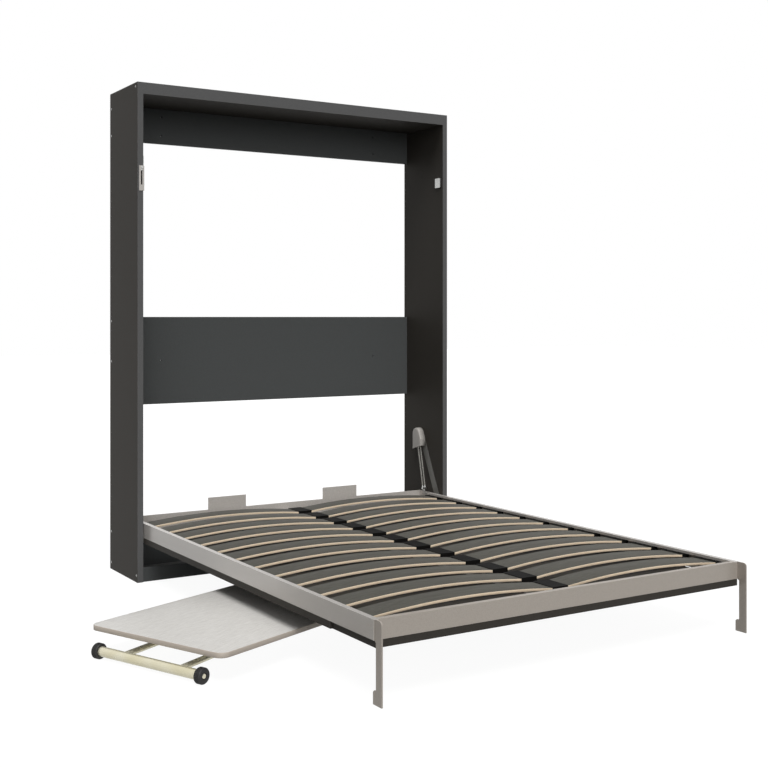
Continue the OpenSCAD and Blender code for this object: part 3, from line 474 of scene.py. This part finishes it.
def makeWheel(bm, x, y, outward):
    w = wheels
    part = bmesh.new()
    bmesh.ops.create_cone(part, cap_ends=True, segments=2 * w["ribs"], radius1=w["r"] - w["rib"],
                          radius2=w["r"] - w["rib"], depth=w["width"])
    caps = [f for f in part.faces if abs(f.normal.z) > 0.5]
    rims = [e for e in part.edges if sum(f in caps for f in e.link_faces) == 1]
    bevelEdges(part, rims, w["round"], w["roundSteps"])
    part.normal_update()
    tread = sorted((f for f in part.faces if abs(f.normal.z) < 0.02),
                   key=lambda f: math.atan2(f.calc_center_median().y, f.calc_center_median().x))
    bmesh.ops.inset_individual(part, faces=tread[::2], thickness=w["ribTaper"], depth=w["rib"])
    outer = max((f for f in part.faces if f.normal.z > 0.9), key=lambda f: f.calc_area())
    bmesh.ops.inset_region(part, faces=[outer], thickness=w["r"] - w["rib"] - w["round"] - w["hubR"])
    bmesh.ops.inset_region(part, faces=[outer], thickness=w["hubTaper"], depth=-w["hubDepth"])
    turn = Matrix.Rotation(math.radians(-90 * outward), 4, "X")
    bmesh.ops.transform(part, matrix=Matrix.Translation((x, y, w["r"])) @ turn, verts=part.verts)
    mesh = bpy.data.meshes.new("part")
    part.to_mesh(mesh)
    part.free()
    bm.from_mesh(mesh)
    bpy.data.meshes.remove(mesh)


def makeWheels(name, x, body, node):
    bm = bmesh.new()
    for outward in (-1, 1):
        makeWheel(bm, x, outward * wheels["track"] / 2, outward)
    bmesh.ops.scale(bm, vec=(mm, mm, mm), verts=bm.verts)
    bmesh.ops.transform(bm, matrix=deskPlace, verts=bm.verts)
    newPiece(name, bm, [blackRubber], body, [node])


makeWheels("wheelsLeft", -wheels["footX"], "wheels_left", "wheels_left")
makeWheels("wheelsRight", wheels["footX"], "wheels_right", "wheels_right")
print("wheels made")

# Camera fitted to the photo, and the light levels. Distances on the floor are in metres
view = {"place": (-2.7035, -5.4351, 1.1937), "yaw": 31.95, "lens": 55.28, "shiftY": -0.0878,
        "floorGlow": 0.94, "nearM": 1.8, "farM": 3.6, "ambient": 0.12,
        "cabinetWideM": 1.69, "cabinetDeepM": 0.369, "floorMiddle": (0, -1.2, 0), "floorHalfM": 30,
        "overhead": {"towards": (0.25, 0.45, -1), "spread": 30, "strength": 2.35},
        "frontSoft": {"towards": (0.25, 1, -0.3), "spread": 35, "strength": 0.95}}


# 1 for the rays that see the backdrop as it is: from the camera, off gloss and through glass
def seenRays(tree):
    path = addNode(tree, "ShaderNodeLightPath")
    straight = addNode(tree, "ShaderNodeMath", {"operation": "MAXIMUM"},
                       {0: (path, "Is Camera Ray"), 1: (path, "Is Transmission Ray")})
    return addNode(tree, "ShaderNodeMath", {"operation": "MAXIMUM"},
                   {0: (straight, "Value"), 1: (path, "Is Glossy Ray")})


# Painted shade: 0 on the floor closed in by the cabinet's boards, where the floor's glow is taken away so
# that it shows dark, and 1 outside
def paintedCabinetShade(tree, coords):
    shifted = addNode(tree, "ShaderNodeVectorMath", {"operation": "ADD", 1: (0, view["cabinetDeepM"] / 2, 0)},
                      {0: (coords, "Object")})
    scaled = addNode(tree, "ShaderNodeVectorMath",
                     {"operation": "MULTIPLY", 1: (2 / view["cabinetWideM"], 2 / view["cabinetDeepM"], 0)},
                     {0: (shifted, "Vector")})
    axes = addNode(tree, "ShaderNodeSeparateXYZ", links={"Vector": (scaled, "Vector")})
    wide = addNode(tree, "ShaderNodeMath", {"operation": "ABSOLUTE"}, {0: (axes, "X")})
    deep = addNode(tree, "ShaderNodeMath", {"operation": "ABSOLUTE"}, {0: (axes, "Y")})
    most = addNode(tree, "ShaderNodeMath", {"operation": "MAXIMUM"},
                   {0: (wide, "Value"), 1: (deep, "Value")})
    return addNode(tree, "ShaderNodeMapRange", {"From Min": 0.9, "From Max": 0.98},
                   {"Value": (most, "Value")})


# Grey under the lamps, so that it keeps a shadow, with a glow that makes it near white to the camera
def makeFloor():
    material, tree, shader = newMaterial("paleFloor", "#4c4c4b", 0.9)
    coords = addNode(tree, "ShaderNodeTexCoord")
    away = addNode(tree, "ShaderNodeVectorMath", {"operation": "DISTANCE", 1: view["floorMiddle"]},
                   {0: (coords, "Object")})
    span = {"From Min": view["nearM"], "From Max": view["farM"], "To Min": view["floorGlow"], "To Max": 1.0}
    glow = addNode(tree, "ShaderNodeMapRange", span, {"Value": (away, "Value")})
    # Painted shade on the floor inside the cabinet's footprint
    shaded = addNode(tree, "ShaderNodeMath", {"operation": "MULTIPLY"},
                     {0: (glow, "Result"), 1: (paintedCabinetShade(tree, coords), "Result")})
    strength = addNode(tree, "ShaderNodeMath", {"operation": "MULTIPLY"},
                       {0: (shaded, "Value"), 1: (seenRays(tree), "Value")})
    white = addNode(tree, "ShaderNodeEmission", {"Color": (1, 1, 1, 1)}, {"Strength": (strength, "Value")})
    both = addNode(tree, "ShaderNodeAddShader", links={0: (shader, "BSDF"), 1: (white, 0)})
    tree.links.new(both.outputs[0], tree.nodes["Material Output"].inputs["Surface"])
    bm = bmesh.new()
    bmesh.ops.create_grid(bm, x_segments=1, y_segments=1, size=view["floorHalfM"])
    mesh = bpy.data.meshes.new("floor")
    bm.to_mesh(mesh)
    bm.free()
    mesh.materials.append(material)
    floor = bpy.data.objects.new("floor", mesh)
    bpy.context.scene.collection.objects.link(floor)


def makeWorld():
    world = bpy.data.worlds.new("studio")
    bpy.context.scene.world = world
    world.use_nodes = True
    tree = world.node_tree
    background = tree.nodes["Background"]
    background.inputs["Color"].default_value = (1, 1, 1, 1)
    strength = addNode(tree, "ShaderNodeMapRange", {"To Min": view["ambient"], "To Max": 1.0},
                       {"Value": (seenRays(tree), "Value")})
    tree.links.new(strength.outputs["Result"], background.inputs["Strength"])


def addSun(name):
    sun = view[name]
    lamp = bpy.data.lights.new(name, "SUN")
    lamp.angle = math.radians(sun["spread"])
    lamp.energy = sun["strength"]
    item = bpy.data.objects.new(name, lamp)
    item.rotation_euler = Vector(sun["towards"]).to_track_quat("-Z", "Y").to_euler()
    bpy.context.scene.collection.objects.link(item)


def makeCamera():
    camera = bpy.data.cameras.new("camera")
    camera.sensor_width = 36
    camera.lens = view["lens"]
    camera.shift_y = view["shiftY"]
    camera.clip_end = 100
    item = bpy.data.objects.new("camera", camera)
    item.location = view["place"]
    item.rotation_euler = (math.radians(90), 0, -math.radians(view["yaw"]))
    bpy.context.scene.collection.objects.link(item)
    bpy.context.scene.camera = item


makeFloor()
makeWorld()
addSun("overhead")
addSun("frontSoft")
makeCamera()
bpy.context.scene.view_settings.view_transform = "Standard"
print("floor, light and camera set")
